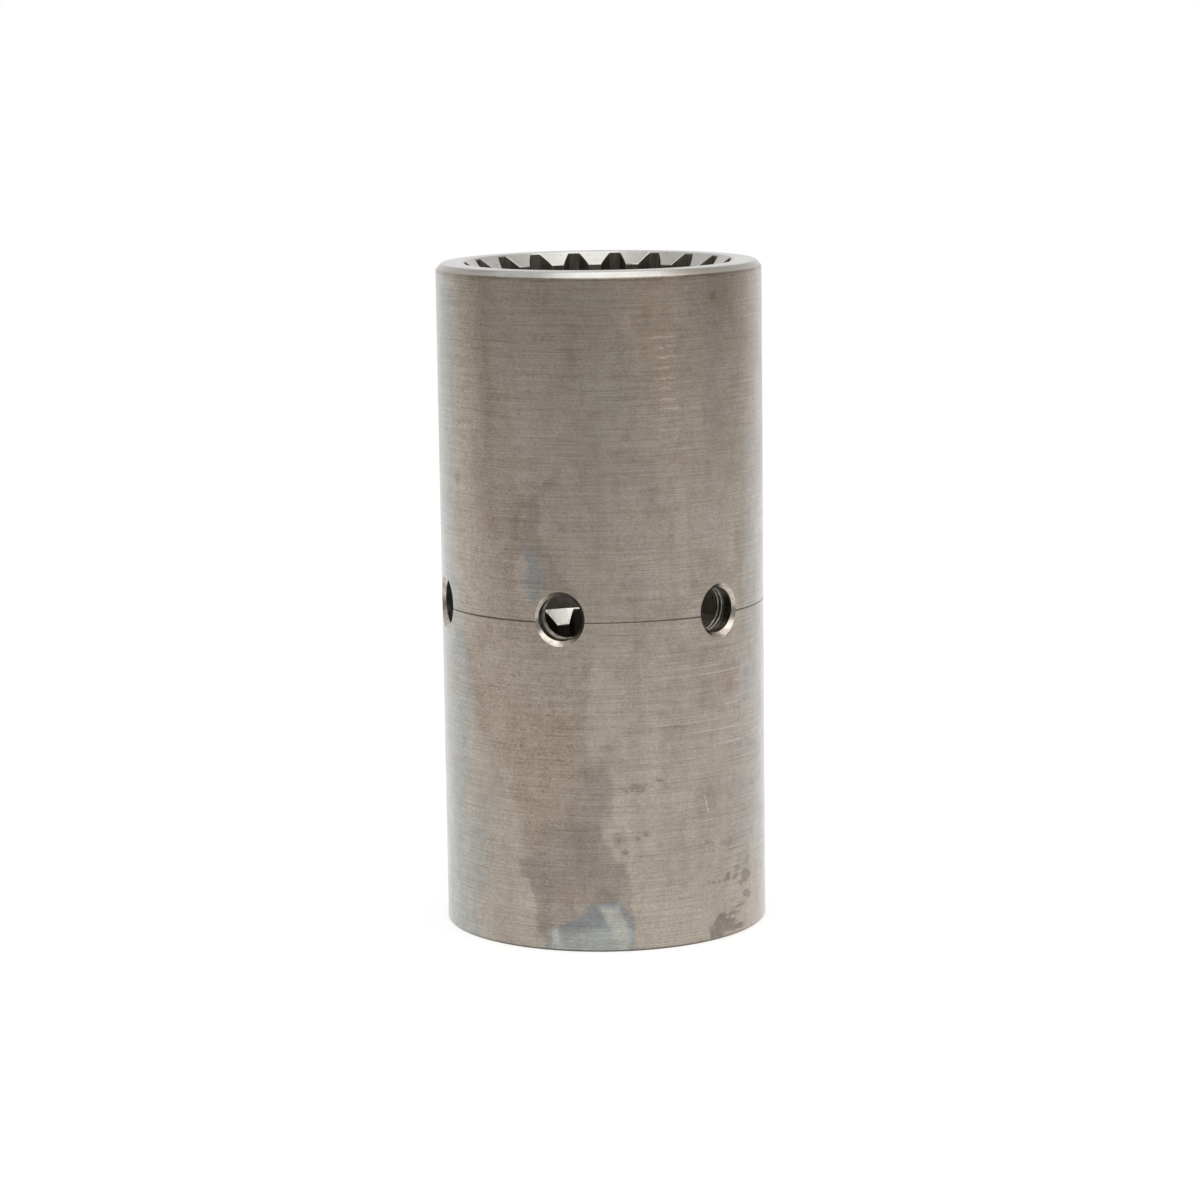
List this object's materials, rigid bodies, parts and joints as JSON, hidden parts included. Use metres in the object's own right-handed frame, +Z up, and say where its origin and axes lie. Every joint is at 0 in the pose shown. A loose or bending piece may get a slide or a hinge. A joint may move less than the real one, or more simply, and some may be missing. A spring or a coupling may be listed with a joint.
{
  "type": "splined coupling sleeve",
  "caption": "Plain round steel sleeve with an internal involute spline at both ends, a turned relief between them and a ring of tapped radial holes.",
  "frame": {"origin": "middle of the lower end face, on the bore axis", "axes": "+Z up the bore axis, +X along the axis of the first radial hole"},
  "size_m": [0.066, 0.066, 0.1355],
  "materials": {
    "turned_steel": "bare turned steel, satin, with faint brown and blue-grey stains"
  },
  "bodies": {
    "root": {"coupling_sleeve": "turned_steel"}
  },
  "joints": []
}
